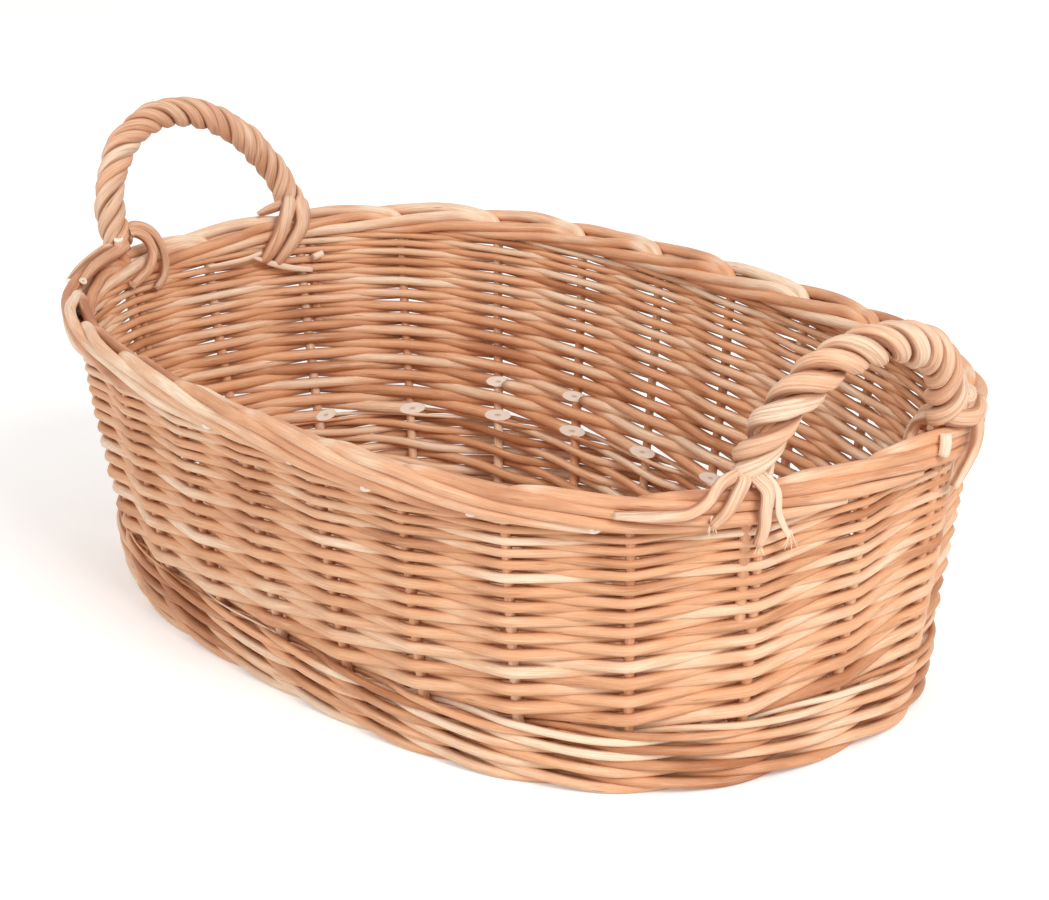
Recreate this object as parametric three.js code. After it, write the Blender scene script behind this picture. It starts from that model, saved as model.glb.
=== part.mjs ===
// An oval willow serving basket with two twisted end handles, modelled rod by rod in millimetres.
// +X runs along the basket, +Y across it, +Z up, and the origin is the middle of the base's underside.
import * as THREE from "three";

// The oval wall: half sizes of its middle line at the floor and at the border, and how square the oval is.
const baseHalfLength = 197.5;
const baseHalfWidth = 117.5;
const rimHalfLength = 222;
const rimHalfWidth = 138;
const bodyHeight = 135;
const ovalPower = 2.7;
const wallBelly = 1.3;

// Rods.
const stakeCount = 24;
const stakeDiameter = 4.8;
const borderRodDiameter = 5.1;
const waleRodDiameter = 4.2;
const rodSides = 5;
const weaveSides = 4;
const clearance = 0.3;

// The wale at the foot: three rods, each before two stakes and behind one.
const waleHeight = 27;
const waleSpread = 0.4;
const waleFrontSpread = 0.6;
const waleCrossing = 0.08;
const thinnestLayer = 0.25;

// French randing: one weaver to a stake, each climbing one row for every stake it passes.
const weaverButtDiameter = 4.3;
const weaverTipDiameter = 1.7;
const buttLap = 0.14;
const tipLap = 0.1;

// The border: each stake is laid down behind two others, before three, and its tip behind the next.
const borderBehind = 2;
const borderBefore = 3;
const borderCrown = 2.7;
const borderBendHeight = 5;
const bendStart = 0.07;
const bendDrop = 0.7;
const bendLean = 0.65;
const crossingRun = 0.25;
const crossingDip = 1.45;
const crossingLeans = [-0.85, -0.26, -0.11, 0.45];
const tuckEnd = 0.08;

// The base, a woven oval mat.
const baseThickness = 8;
const baseRound = 2.5;
const baseRelief = 3.6;
const baseRounds = 8;
const basePoints = 32;

// The handles: a bow pushed down beside two stakes and wound with three rods.
const bowDiameter = 4.4;
const bowPower = 2;
const bowFootHeight = 70;
const bowShift = 0.115;
const bowSteps = 14;
const strandDiameter = 5.4;
const strandCount = 3;
const strandTurns = 14 / 3;
const strandSteps = 5;
const strandTailDrop = 38;

// What differs between the two handles: how high the arch stands, how far out it leans at its end of
// the basket, and how far its top sways towards +Y.
const rightHandle = { name: "right", end: 1, rise: 46, lean: 19, sway: -4 };
const leftHandle = { name: "left", end: -1, rise: 54, lean: 12, sway: -12 };

const willow = new THREE.MeshStandardMaterial({ color: 0xd9995f, roughness: 0.55, metalness: 0 });
const paleWillow = new THREE.MeshStandardMaterial({ color: 0xe6b183, roughness: 0.55, metalness: 0 });
const borderWillow = new THREE.MeshStandardMaterial({ color: 0xe0a268, roughness: 0.5, metalness: 0 });
const strandWillow = new THREE.MeshStandardMaterial({ color: 0xe2a87a, roughness: 0.6, metalness: 0 });

const mix = (a, b, share) => a + (b - a) * share;

// A point of a superellipse, at an angle from +X.
function ovalPoint(halfLength, halfWidth, angle) {
  const c = Math.cos(angle);
  const s = Math.sin(angle);
  const reach = (Math.abs(c) ** ovalPower + Math.abs(s) ** ovalPower) ** (-1 / ovalPower);
  return [halfLength * reach * c, halfWidth * reach * s];
}

// How far the wall has opened out, from 0 at the floor to 1 at the border.
const opening = (z) => 1 - (1 - Math.min(z / bodyHeight, 1)) ** wallBelly;

// Angles at equal distances round the wall's middle line at half height.
const angleTable = (() => {
  const samples = 1440;
  const halfLength = mix(baseHalfLength, rimHalfLength, 0.5);
  const halfWidth = mix(baseHalfWidth, rimHalfWidth, 0.5);
  const distances = [0];
  let last = ovalPoint(halfLength, halfWidth, 0);
  for (let i = 1; i <= samples; i++) {
    const next = ovalPoint(halfLength, halfWidth, (i / samples) * 2 * Math.PI);
    distances.push(distances[i - 1] + Math.hypot(next[0] - last[0], next[1] - last[1]));
    last = next;
  }
  return distances;
})();
const wallLength = angleTable[angleTable.length - 1];
const stakeSpacing = wallLength / stakeCount;

// The angle of a station. Stations count stakes, and the bows' legs lie evenly about the X axis.
function angleAt(station) {
  const turns = Math.floor((station + bowShift) / stakeCount);
  const distance = (station + bowShift - turns * stakeCount) * stakeSpacing;
  let low = 0;
  let high = angleTable.length - 1;
  while (high - low > 1) {
    const middle = (low + high) >> 1;
    if (angleTable[middle] <= distance) low = middle;
    else high = middle;
  }
  const share = (distance - angleTable[low]) / (angleTable[high] - angleTable[low]);
  return (((low + share) / (angleTable.length - 1)) + turns) * 2 * Math.PI;
}

// The wall's outward direction at a station.
function outwardAt(station) {
  const step = 0.02;
  const halfLength = mix(baseHalfLength, rimHalfLength, 0.5);
  const halfWidth = mix(baseHalfWidth, rimHalfWidth, 0.5);
  const before = ovalPoint(halfLength, halfWidth, angleAt(station - step));
  const after = ovalPoint(halfLength, halfWidth, angleAt(station + step));
  return new THREE.Vector3(after[1] - before[1], before[0] - after[0], 0).normalize();
}

// A point in the wall: a station, a height, and how far it lies outside the middle line.
function wallPoint(station, z, outside = 0) {
  const share = opening(z);
  const halfLength = mix(baseHalfLength, rimHalfLength, share);
  const halfWidth = mix(baseHalfWidth, rimHalfWidth, share);
  const [x, y] = ovalPoint(halfLength, halfWidth, angleAt(station));
  return new THREE.Vector3(x, y, z).addScaledVector(outwardAt(station), outside);
}

// Half the angle that the wall turns from one stake to the next.
const halfTurnAt = (station) => outwardAt(station - 0.5).angleTo(outwardAt(station + 0.5)) / 2;

// The wall leans out by at most this much, which brings a level rod nearer to a leaning stake.
const leanFactor = Math.hypot(1, (wallBelly * (rimHalfLength - baseHalfLength)) / bodyHeight);

// How far from the middle line a rod's own middle passes a stake, so that it clears the stake on a bend.
function passing(station, side, rodDiameter) {
  const clear = ((stakeDiameter + rodDiameter) / 2 + clearance) * leanFactor;
  const zigzag = Math.atan((2 * clear) / stakeSpacing);
  const bend = zigzag + (side > 0 ? halfTurnAt(station) : 0);
  return (side * clear) / Math.cos(bend);
}

// A rod along a list of {at, diameter}, with flat ends. Each ring stands square to the path's mean direction.
function rod(path, sides = rodSides) {
  const positions = [];
  const index = [];
  const ahead = path.map((p, i) => {
    const before = path[Math.max(i - 1, 0)].at;
    const after = path[Math.min(i + 1, path.length - 1)].at;
    const into = p.at.clone().sub(before).normalize();
    const out = after.clone().sub(p.at).normalize();
    return into.add(out).normalize();
  });
  const level = Math.abs(ahead[0].z) < 0.9;
  const across = new THREE.Vector3(level ? 0 : 1, 0, level ? 1 : 0);
  path.forEach((p, i) => {
    if (i > 0) {
      const turn = new THREE.Quaternion().setFromUnitVectors(ahead[i - 1], ahead[i]);
      across.applyQuaternion(turn);
    }
    across.addScaledVector(ahead[i], -across.dot(ahead[i])).normalize();
    const upward = ahead[i].clone().cross(across);
    for (let s = 0; s < sides; s++) {
      const angle = (s / sides) * 2 * Math.PI;
      const radius = p.diameter / 2;
      const corner = p.at
        .clone()
        .addScaledVector(across, radius * Math.cos(angle))
        .addScaledVector(upward, radius * Math.sin(angle));
      positions.push(corner.x, corner.y, corner.z);
    }
  });
  for (let i = 0; i + 1 < path.length; i++) {
    for (let s = 0; s < sides; s++) {
      const next = (s + 1) % sides;
      const here = i * sides;
      const there = here + sides;
      index.push(here + s, here + next, there + next, here + s, there + next, there + s);
    }
  }
  const end = (path.length - 1) * sides;
  for (let s = 1; s + 1 < sides; s++) {
    index.push(0, s + 1, s);
    index.push(end, end + s, end + s + 1);
  }
  const geometry = new THREE.BufferGeometry();
  geometry.setAttribute("position", new THREE.Float32BufferAttribute(positions, 3));
  geometry.setIndex(index);
  geometry.computeVertexNormals();
  return geometry;
}

// The places that a rod passes at a station: the stake's own and, before it, that of a leg of a bow.
const legStations = [1, stakeCount / 2 - 1, stakeCount / 2 + 1, stakeCount - 1];
function placesAt(station) {
  const around = ((station % stakeCount) + stakeCount) % stakeCount;
  return legStations.includes(around) ? [station - bowShift, station] : [station];
}

// The border's levels, counted from the one below each stake's bend down to that of the tucked tips.
const borderStep = borderRodDiameter + clearance;
const bendHeight = bodyHeight - borderRodDiameter / 2;
const borderLevel = (number) => bendHeight - borderCrown - number * borderStep;
const tuckHeight = borderLevel(borderBefore - 1);
const borderOutside = (stakeDiameter + borderRodDiameter) / 2 + 2 * clearance;

// The weavers' rows fill the wall from the wale to the border. Rods taper from butt to tip, so rows get
// closer upwards, and an even number of rows leaves every tip inside.
const rows = (() => {
  const lowest = waleHeight + weaverButtDiameter / 2 + clearance;
  const highest = tuckHeight - (weaverTipDiameter + borderRodDiameter) / 2 - clearance;
  const usualPitch = (weaverButtDiameter + weaverTipDiameter) / 2 + clearance;
  const count = 2 * Math.round((highest - lowest) / usualPitch / 2);
  const stretch = (highest - lowest) / count / usualPitch;
  const list = [];
  let z = lowest;
  for (let row = 0; row <= count; row++) {
    const pitch = stretch * (mix(weaverButtDiameter, weaverTipDiameter, (row + 0.5) / count) + clearance);
    list.push({ z, diameter: pitch - clearance });
    z += pitch;
  }
  return list;
})();
const tailRow = rows.find(({ z }) => z > bodyHeight - strandTailDrop - borderRodDiameter);

// A weaver starts inside its own stake and goes out and in round the next ones, one row up for each.
function weaver(first) {
  const path = [];
  rows.forEach(({ z, diameter }, row) => {
    const station = first + row;
    const side = row % 2 ? 1 : -1;
    const outside = passing(station, side, diameter);
    const put = (place) => path.push({ at: wallPoint(place, z, outside), diameter });
    if (row === 0) put(station - buttLap);
    const places = z > bowFootHeight - weaverButtDiameter ? placesAt(station) : [station];
    places.forEach(put);
    if (row === rows.length - 1) put(station + tipLap);
  });
  return rod(path, weaveSides);
}

// A stake rises through the wall, bends over counter-clockwise and weaves past the others.
function stake(station) {
  const path = [];
  const put = (place, z, outside, diameter) => path.push({ at: wallPoint(place, z, outside), diameter });
  const foot = 2 * clearance;
  put(station, foot, 0, stakeDiameter);
  put(station, mix(foot, tuckHeight, 0.33), 0, stakeDiameter);
  put(station, mix(foot, tuckHeight, 0.67), 0, stakeDiameter);
  put(station, bendHeight - borderBendHeight, 0, stakeDiameter);
  const lay = (passed, z, outside) => put(station + passed, z, outside, borderRodDiameter);
  const layPast = (passed, number, side) => {
    const places = placesAt(station + passed);
    for (const place of places) lay(place - station, borderLevel(number), side * borderOutside);
  };
  lay(bendStart, bendHeight - bendDrop, -clearance);
  lay(0.5, bendHeight, -bendLean * borderOutside);
  for (let passed = 1; passed <= borderBehind; passed++) layPast(passed, passed - 1, -1);
  const out = borderBehind + 0.5;
  const wayOut = [
    [out - crossingRun, borderLevel(1) - crossingDip],
    [out - crossingRun / 2, borderLevel(1)],
    [out, borderLevel(0.4)],
    [out + crossingRun, bendHeight - bendDrop],
  ];
  wayOut.forEach(([passed, z], step) => lay(passed, z, crossingLeans[step] * borderOutside));
  for (let before = 1; before <= borderBefore; before++) {
    layPast(borderBehind + before, before - 1, 1);
    if (before < borderBefore) lay(borderBehind + before + 0.5, borderLevel(before - 0.5), borderOutside);
  }
  const back = borderBehind + borderBefore + 0.5;
  lay(back, tuckHeight - crossingDip, 0);
  lay(back + 0.5 - tuckEnd, tuckHeight - clearance, -borderOutside);
  lay(back + 0.5 + tuckEnd, tuckHeight - 1.5 * clearance, -borderOutside);
  return rod(path);
}

// The wale's layers thicken over their first turn and thin over their last, so that its top is level.
const waleLayer = 2 * waleRodDiameter + waleSpread + 2 * clearance;
const waleTurns = waleHeight / waleLayer + 1;
const layerShare = (turns) => Math.max(0, Math.min(turns, 1, waleTurns - turns));

function layerMiddle(turns) {
  let below = 0;
  for (let t = turns - 1; t > 0; t--) below += layerShare(t);
  return (below + layerShare(turns) / 2) * waleLayer;
}

function waleRod(number) {
  const path = [];
  const firstStep = Math.ceil(thinnestLayer * stakeCount);
  const lastStep = Math.floor((waleTurns - thinnestLayer) * stakeCount);
  for (let step = firstStep; step <= lastStep; step++) {
    const put = (place, level, side) => {
      const turns = place / stakeCount;
      const share = layerShare(turns);
      const diameter = (share * waleLayer - share * waleSpread - 2 * clearance) / 2;
      const rise = (diameter + clearance + share * waleSpread) / 2;
      const outside = passing(place, side, diameter) + (side > 0 ? waleFrontSpread * share : 0);
      const z = layerMiddle(turns) + level * rise;
      path.push({ at: wallPoint(place, z, outside), diameter });
    };
    const turn = (step + number) % 3;
    if (turn === 0) {
      put(step - waleCrossing, -1, -1);
      put(step + waleCrossing, 1, -1);
    }
    if (turn === 1) put(step, 1, 1);
    if (turn === 2) put(step, -1, 1);
  }
  return rod(path, weaveSides);
}

// The base: an oval mat with rounded edges, whose woven rounds go over and under its sticks in relief.
function baseMat() {
  const toWale = ((stakeDiameter + waleRodDiameter) / 2 + clearance) * leanFactor;
  const reach = toWale + waleRodDiameter / 2 + clearance;
  const opened = opening(baseRound);
  const halfLength = mix(baseHalfLength, rimHalfLength, opened) - reach;
  const halfWidth = mix(baseHalfWidth, rimHalfWidth, opened) - reach;
  const rings = [
    { inset: baseRound, z: 0 },
    { inset: 0, z: baseRound },
    { inset: 0, z: baseThickness - baseRound },
  ];
  const roundWidth = (halfWidth - baseRound) / (baseRounds + 1);
  for (let round = 0; round < baseRounds; round++) {
    const relief = round > 0 ? baseRelief : 0;
    rings.push({ inset: baseRound + round * roundWidth, z: baseThickness, relief });
  }
  const positions = [0, 0, 0];
  rings.forEach(({ inset, z, relief = 0 }, ring) => {
    for (let p = 0; p < basePoints; p++) {
      const angle = (p / basePoints) * 2 * Math.PI;
      const [x, y] = ovalPoint(halfLength - inset, halfWidth - inset, angle);
      positions.push(x, y, z - ((p + ring) % 2) * relief);
    }
  });
  const top = positions.length / 3;
  positions.push(0, 0, baseThickness);
  const index = [];
  for (let p = 0; p < basePoints; p++) {
    const next = (p + 1) % basePoints;
    index.push(0, 1 + next, 1 + p);
    for (let ring = 0; ring + 1 < rings.length; ring++) {
      const here = 1 + ring * basePoints;
      const there = here + basePoints;
      index.push(here + p, here + next, there + next, here + p, there + next, there + p);
    }
    const inner = 1 + (rings.length - 1) * basePoints;
    index.push(top, inner + p, inner + next);
  }
  const geometry = new THREE.BufferGeometry();
  geometry.setAttribute("position", new THREE.Float32BufferAttribute(positions, 3));
  geometry.setIndex(index);
  geometry.computeVertexNormals();
  return geometry;
}

// The bow's middle line: up one leg, over the arch and down the other leg.
function bowPath(handle) {
  const middle = handle.end > 0 ? 0 : stakeCount / 2;
  const legs = [middle - 1 - bowShift, middle + 1 - bowShift];
  const feet = legs.map((station) => wallPoint(station, bodyHeight));
  const centre = feet[0].clone().add(feet[1]).multiplyScalar(0.5);
  const half = feet[1].clone().sub(centre);
  const rise = new THREE.Vector3(handle.end * handle.lean, handle.sway, handle.rise);
  const arch = [];
  for (let i = 0; i <= bowSteps; i++) {
    const angle = (i / bowSteps) * Math.PI;
    const along = -Math.sign(Math.cos(angle)) * Math.abs(Math.cos(angle)) ** (2 / bowPower);
    const up = Math.sin(angle) ** (2 / bowPower);
    arch.push(centre.clone().addScaledVector(half, along).addScaledVector(rise, up));
  }
  const down = [bowFootHeight, mix(bowFootHeight, bodyHeight, 0.5)];
  const first = down.map((z) => wallPoint(legs[0], z));
  const second = down.map((z) => wallPoint(legs[1], z)).reverse();
  return { legs, arch, line: [...first, ...arch, ...second] };
}

function bow(handle) {
  return rod(bowPath(handle).line.map((at) => ({ at, diameter: bowDiameter })));
}

// A strand winds round the bow's arch and its two tails run down over the border, outside or inside.
function strand(handle, number) {
  const { legs, arch } = bowPath(handle);
  const curve = new THREE.CatmullRomCurve3(arch, false, "centripetal");
  const outward = new THREE.Vector3(handle.end, 0, 0);
  const wound = ((bowDiameter + strandDiameter) / 2 + clearance) / Math.cos(Math.PI / strandSteps);
  const steps = Math.round(strandTurns * strandSteps);
  const start = 0.03;
  const path = [];
  const phaseAt = (share) => (number / strandCount + share * strandTurns) * 2 * Math.PI;
  for (let i = 0; i <= steps; i++) {
    const share = i / steps;
    const place = mix(start, 1 - start, share);
    const ahead = curve.getTangentAt(place);
    const away = outward.clone().addScaledVector(ahead, -outward.dot(ahead)).normalize();
    const side = ahead.clone().cross(away);
    const phase = phaseAt(share);
    const at = curve
      .getPointAt(place)
      .addScaledVector(away, wound * Math.cos(phase))
      .addScaledVector(side, wound * Math.sin(phase));
    path.push({ at, diameter: strandDiameter });
  }
  return rod([...tail(legs[0], path[0].at), ...path, ...tail(legs[1], path[steps].at).reverse()]);
}

// A tail goes from the foot of the winding down one face of the wall, clear of the border and the rows.
function tail(leg, from) {
  const foot = wallPoint(leg, bodyHeight);
  const outward = outwardAt(leg);
  const away = from.clone().sub(foot);
  const face = away.dot(outward) > 0 ? 1 : -1;
  const along = new THREE.Vector3(-outward.y, outward.x, 0);
  const shift = away.dot(along) / stakeSpacing;
  const overBorder = borderOutside + (borderRodDiameter + strandDiameter) / 2 + 2 * clearance;
  const onRows = passing(leg, 1, tailRow.diameter) + (tailRow.diameter + strandDiameter) / 2 + clearance;
  const put = (z, outside) => ({ at: wallPoint(leg + shift, z, face * outside), diameter: strandDiameter });
  return [
    put(bodyHeight - strandTailDrop, onRows),
    put(tuckHeight - borderRodDiameter - strandDiameter, onRows),
    put(tuckHeight - borderRodDiameter / 2, overBorder),
    put(bendHeight + borderRodDiameter / 4, overBorder),
  ];
}

const basket = new THREE.Group();
function add(name, geometry, material) {
  const mesh = new THREE.Mesh(geometry, material);
  mesh.name = name;
  basket.add(mesh);
}

add("base_mat", baseMat(), paleWillow);
for (let i = 0; i < 3; i++) add("wale_rod_" + (i + 1), waleRod(i), willow);
for (let i = 0; i < stakeCount; i++) {
  const label = String(i + 1).padStart(2, "0");
  add("stake_" + label, stake(i), borderWillow);
  add("weaver_" + label, weaver(i), willow);
}
for (const handle of [rightHandle, leftHandle]) {
  add("handle_" + handle.name + "_bow", bow(handle), paleWillow);
  for (let i = 0; i < strandCount; i++) {
    add("handle_" + handle.name + "_strand_" + (i + 1), strand(handle, i), strandWillow);
  }
}

export default basket;
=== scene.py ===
import itertools
import math
import bpy
import numpy as np
from mathutils import Matrix, Vector


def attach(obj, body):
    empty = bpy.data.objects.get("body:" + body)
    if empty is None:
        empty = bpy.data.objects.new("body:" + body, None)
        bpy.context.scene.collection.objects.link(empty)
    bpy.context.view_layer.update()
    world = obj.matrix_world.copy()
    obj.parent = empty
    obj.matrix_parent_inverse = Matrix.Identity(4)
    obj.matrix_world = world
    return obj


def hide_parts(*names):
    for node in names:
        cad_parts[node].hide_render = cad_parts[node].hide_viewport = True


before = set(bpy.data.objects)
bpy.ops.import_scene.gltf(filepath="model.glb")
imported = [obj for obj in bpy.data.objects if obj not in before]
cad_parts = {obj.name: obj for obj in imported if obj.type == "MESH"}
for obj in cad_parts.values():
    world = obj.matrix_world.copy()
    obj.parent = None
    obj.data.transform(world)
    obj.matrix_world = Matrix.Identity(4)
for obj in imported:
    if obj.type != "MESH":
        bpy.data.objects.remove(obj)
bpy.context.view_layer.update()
dice = np.random.default_rng(24)
mm = 0.001

# All sizes below are in millimetres, and the meshes are written in metres.

basket = {
    "baseHalf": (197.5, 117.5),   # half length and width of the wall's middle line at the floor
    "rimHalf": (222.0, 138.0),    # the same at the border
    "height": 135.0,
    "ovalPower": 2.7,
    "belly": 1.3,
    "stakes": 24,
    "legShift": 0.115,            # the handle's leg stands this part of a spacing before its stake
    "stakeWidth": 4.8,
    "farRise": 7.0,               # the wale is this much higher on the far side, with the rows above it
    "riseHeights": (0, 30, 118),  # where that rise starts, where it is whole and where it ends
    "farStake": 8.5,              # the middle of the far side, counted in stakes
}


# The oval wall.

def ovalXY(halfLength, halfWidth, angle):
    # a superellipse: the reach along each direction keeps |x/a|^p + |y/b|^p = 1
    c, s = np.cos(angle), np.sin(angle)
    p = basket["ovalPower"]
    reach = (np.abs(c) ** p + np.abs(s) ** p) ** (-1 / p)
    return halfLength * reach * c, halfWidth * reach * s


def opening(z):
    # 0 at the floor and 1 at the border, quick at first and slower higher up
    return 1 - (1 - np.clip(z / basket["height"], 0, 1)) ** basket["belly"]


middleHalf = [(a + b) / 2 for a, b in zip(basket["baseHalf"], basket["rimHalf"])]
turnAngles = np.linspace(0, 2 * np.pi, 2881)   # every eighth of a degree
midX, midY = ovalXY(*middleHalf, turnAngles)
turnLengths = np.concatenate([[0], np.cumsum(np.hypot(np.diff(midX), np.diff(midY)))])
spacing = turnLengths[-1] / basket["stakes"]


def angleAt(station):
    # stations count stakes counter-clockwise at equal distances round the wall
    place = np.asarray(station, float) + basket["legShift"]
    turns = np.floor(place / basket["stakes"])
    part = (place - turns * basket["stakes"]) * spacing
    return np.interp(part, turnLengths, turnAngles) + turns * 2 * np.pi


def outwardAt(station):
    # square to the wall's direction between two near points, level and of length 1
    station, near = np.asarray(station, float), 0.02
    x0, y0 = ovalXY(*middleHalf, angleAt(station - near))
    x1, y1 = ovalXY(*middleHalf, angleAt(station + near))
    flat = np.stack([y1 - y0, x0 - x1, np.zeros_like(x0)], -1)
    return flat / np.linalg.norm(flat, axis=-1, keepdims=True)


def wallPoint(station, z, outside=0.0):
    # the oval at height z, pushed outside along the wall's own outward direction; the rows
    # of the far side lie a little higher, most on top of the wale and not at all at the border
    station, z, outside = np.broadcast_arrays(*[np.asarray(v, float) for v in (station, z, outside)])
    far = 0.5 + 0.5 * np.cos((station - basket["farStake"]) * 2 * np.pi / basket["stakes"])
    z = z + basket["farRise"] * far * np.interp(z, basket["riseHeights"], [0, 1, 0])
    share = opening(z)
    halves = [low + (high - low) * share for low, high in zip(basket["baseHalf"], basket["rimHalf"])]
    x, y = ovalXY(*halves, angleAt(station))
    return np.stack([x, y, z], -1) + outwardAt(station) * outside[..., None]


def unit(v):
    # each vector divided by its own length
    return v / np.maximum(np.linalg.norm(v, axis=-1, keepdims=True), 1e-9)


def lengthAlong(line, least=0.0):
    # the sum of the steps from the first point up to each point
    steps = np.linalg.norm(np.diff(line, axis=0), axis=1)
    return np.concatenate([[0], np.cumsum(np.maximum(steps, least))])


def frameAlong(line, away):
    # the line's direction at each point, the part of away square to it, and what is square to both
    tangent = unit(np.gradient(line, axis=0))
    first = unit(away - tangent * (away * tangent).sum(-1, keepdims=True))
    return tangent, first, np.cross(tangent, first)


def cornerAngles(sides):
    return np.arange(sides) / sides * 2 * np.pi


def smoothThrough(knots, step):
    # a cubic through every knot, with slopes from its neighbours, sampled about every step mm
    knots = np.asarray(knots, float)
    along = lengthAlong(knots[:, :3], 0.05)
    slope = np.gradient(knots, along, axis=0)
    at = np.linspace(0, along[-1], max(int(along[-1] / step), 4) + 1)
    i = np.clip(np.searchsorted(along, at, side="right") - 1, 0, len(along) - 2)
    h = (along[i + 1] - along[i])[:, None]
    t = ((at - along[i])[:, None]) / h
    return (
        (2 * t**3 - 3 * t**2 + 1) * knots[i]
        + (t**3 - 2 * t**2 + t) * h * slope[i]
        + (3 * t**2 - 2 * t**3) * knots[i + 1]
        + (t**3 - t**2) * h * slope[i + 1]
    )


def roundCorners(knots, at, corner):
    # straight spans between knots at whole numbers, each corner eased over part of a span
    # (the mean of the path over that part, from its running sums)
    knots = np.asarray(knots, float)
    sums = np.concatenate([np.zeros((1, knots.shape[1])), np.cumsum((knots[1:] + knots[:-1]) / 2, axis=0)])

    def total(place):
        i = np.clip(np.floor(place).astype(int), 0, len(knots) - 2)
        t = (place - i)[:, None]
        return sums[i] + knots[i] * t + (knots[i + 1] - knots[i]) * t * t / 2

    return (total(at + corner) - total(at - corner)) / (2 * corner)


def wander(count, reach, wave):
    # a smooth random walk: noise at every wave-th point, eased between
    coarse = dice.normal(0, reach, int(count / wave) + 4)
    at = np.linspace(0, len(coarse) - 1.001, count)
    i = at.astype(int)
    t = at - i
    t = t * t * (3 - 2 * t)
    return coarse[i] * (1 - t) + coarse[i + 1] * t


# Meshes.

def carry(line, radius, away, sides=10, section=None, startCut=None, endCut=None, tone=0.5, shade=0.0):
    # One rod: a section of unit radius carried along line, scaled by radius at each step.
    # away is the direction in which the section's first corner points. A cut (k, direction)
    # slants the end, by moving each corner along the rod k times its reach in that direction.
    # tone is the rod's own colour and the seed of its pattern, and shade changes it on the way.
    line, away = np.asarray(line, float), np.asarray(away, float)
    radius = np.broadcast_to(np.asarray(radius, float), (len(line),))
    tangent, first, second = frameAlong(line, away)
    theta = cornerAngles(sides)
    if section is None:
        section = np.stack([np.cos(theta), np.sin(theta)], -1)[None]
    offset = first[:, None] * section[..., 0:1] + second[:, None] * section[..., 1:2]
    offset = offset * radius[:, None, None]
    rings = line[:, None] + offset
    run = lengthAlong(line)
    for cut, gone in ((startCut, run), (endCut, run[-1] - run)):
        if cut:
            reach = (offset * np.asarray(cut[1], float)).sum(-1)
            slanted = abs(cut[0]) * radius.max() * 2.4   # the slant dies out over this length
            fade = np.clip(1 - gone / slanted, 0, 1)
            rings = rings + tangent[:, None] * (cut[0] * reach * fade[:, None])[..., None]
    n = len(line)
    verts = np.concatenate([rings.reshape(-1, 3), rings[0].mean(0)[None], rings[-1].mean(0)[None]])
    i, s = np.meshgrid(np.arange(n - 1), np.arange(sides), indexing="ij")
    t = (s + 1) % sides
    here, after = i * sides, (i + 1) * sides
    quads = np.stack([here + s, here + t, after + t, after + s], -1).reshape(-1, 4)
    u = np.stack([s, s + 1, s + 1, s], -1).reshape(-1, 4) / sides
    v = np.stack([run[i], run[i], run[i + 1], run[i + 1]], -1).reshape(-1, 4) * mm
    s = np.arange(sides)
    t = (s + 1) % sides
    startCap = np.stack([np.full(sides, n * sides), t, s], -1)
    endCap = np.stack([np.full(sides, n * sides + 1), (n - 1) * sides + s, (n - 1) * sides + t], -1)
    rim = lambda k: np.stack([np.cos(theta[k]), np.sin(theta[k])], -1)
    zero = np.zeros((sides, 2))
    return {
        "verts": verts, "quads": quads, "tris": np.concatenate([startCap, endCap]),
        "rodUV": np.stack([u, v], -1),
        "capUV": np.concatenate([np.stack([zero, rim(t), rim(s)], 1), np.stack([zero, rim(s), rim(t)], 1)]),
        "tone": np.full(len(verts), tone),
        "shade": np.append(np.repeat(np.broadcast_to(shade, (n,)), sides), [0, 0]),
    }


def makePiece(name, rods, materials, nodes=()):
    # joins rods into one mesh: sides take the first material and cut ends the second
    shifts = np.cumsum([0] + [len(r["verts"]) for r in rods[:-1]])
    verts = np.concatenate([r["verts"] for r in rods]) * mm
    quads = np.concatenate([r["quads"] + k for r, k in zip(rods, shifts)])
    tris = np.concatenate([r["tris"] + k for r, k in zip(rods, shifts)])
    corners = np.concatenate([quads.ravel(), tris.ravel()]).astype(np.int32)
    starts = np.concatenate([np.arange(len(quads)) * 4, len(quads) * 4 + np.arange(len(tris)) * 3])
    mesh = bpy.data.meshes.new(name)
    mesh.vertices.add(len(verts))
    mesh.vertices.foreach_set("co", verts.ravel().astype(np.float32))
    mesh.loops.add(len(corners))
    mesh.loops.foreach_set("vertex_index", corners)
    mesh.polygons.add(len(starts))
    mesh.polygons.foreach_set("loop_start", starts.astype(np.int32))
    isCap = np.concatenate([np.zeros(len(quads), bool), np.ones(len(tris), bool)])
    mesh.polygons.foreach_set("material_index", isCap.astype(np.int32))
    mesh.update(calc_edges=True)
    mesh.polygons.foreach_set("use_smooth", ~isCap)
    sideUV = np.concatenate([r["rodUV"].reshape(-1, 2) for r in rods] + [np.zeros((len(tris) * 3, 2))])
    endUV = np.concatenate([np.zeros((len(quads) * 4, 2))] + [r["capUV"].reshape(-1, 2) for r in rods])
    mesh.uv_layers.new(name="rodUV").data.foreach_set("uv", sideUV.ravel().astype(np.float32))
    mesh.uv_layers.new(name="endUV").data.foreach_set("uv", endUV.ravel().astype(np.float32))
    for attribute, key in (("rodTone", "tone"), ("rodShade", "shade")):
        values = np.concatenate([r[key] for r in rods]).astype(np.float32)
        mesh.attributes.new(attribute, "FLOAT", "POINT").data.foreach_set("value", values)
    for material in materials:
        mesh.materials.append(material)
    piece = bpy.data.objects.new(name, mesh)
    bpy.context.scene.collection.objects.link(piece)
    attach(piece, "root")
    if nodes:
        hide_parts(*nodes)


# Materials.

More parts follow.
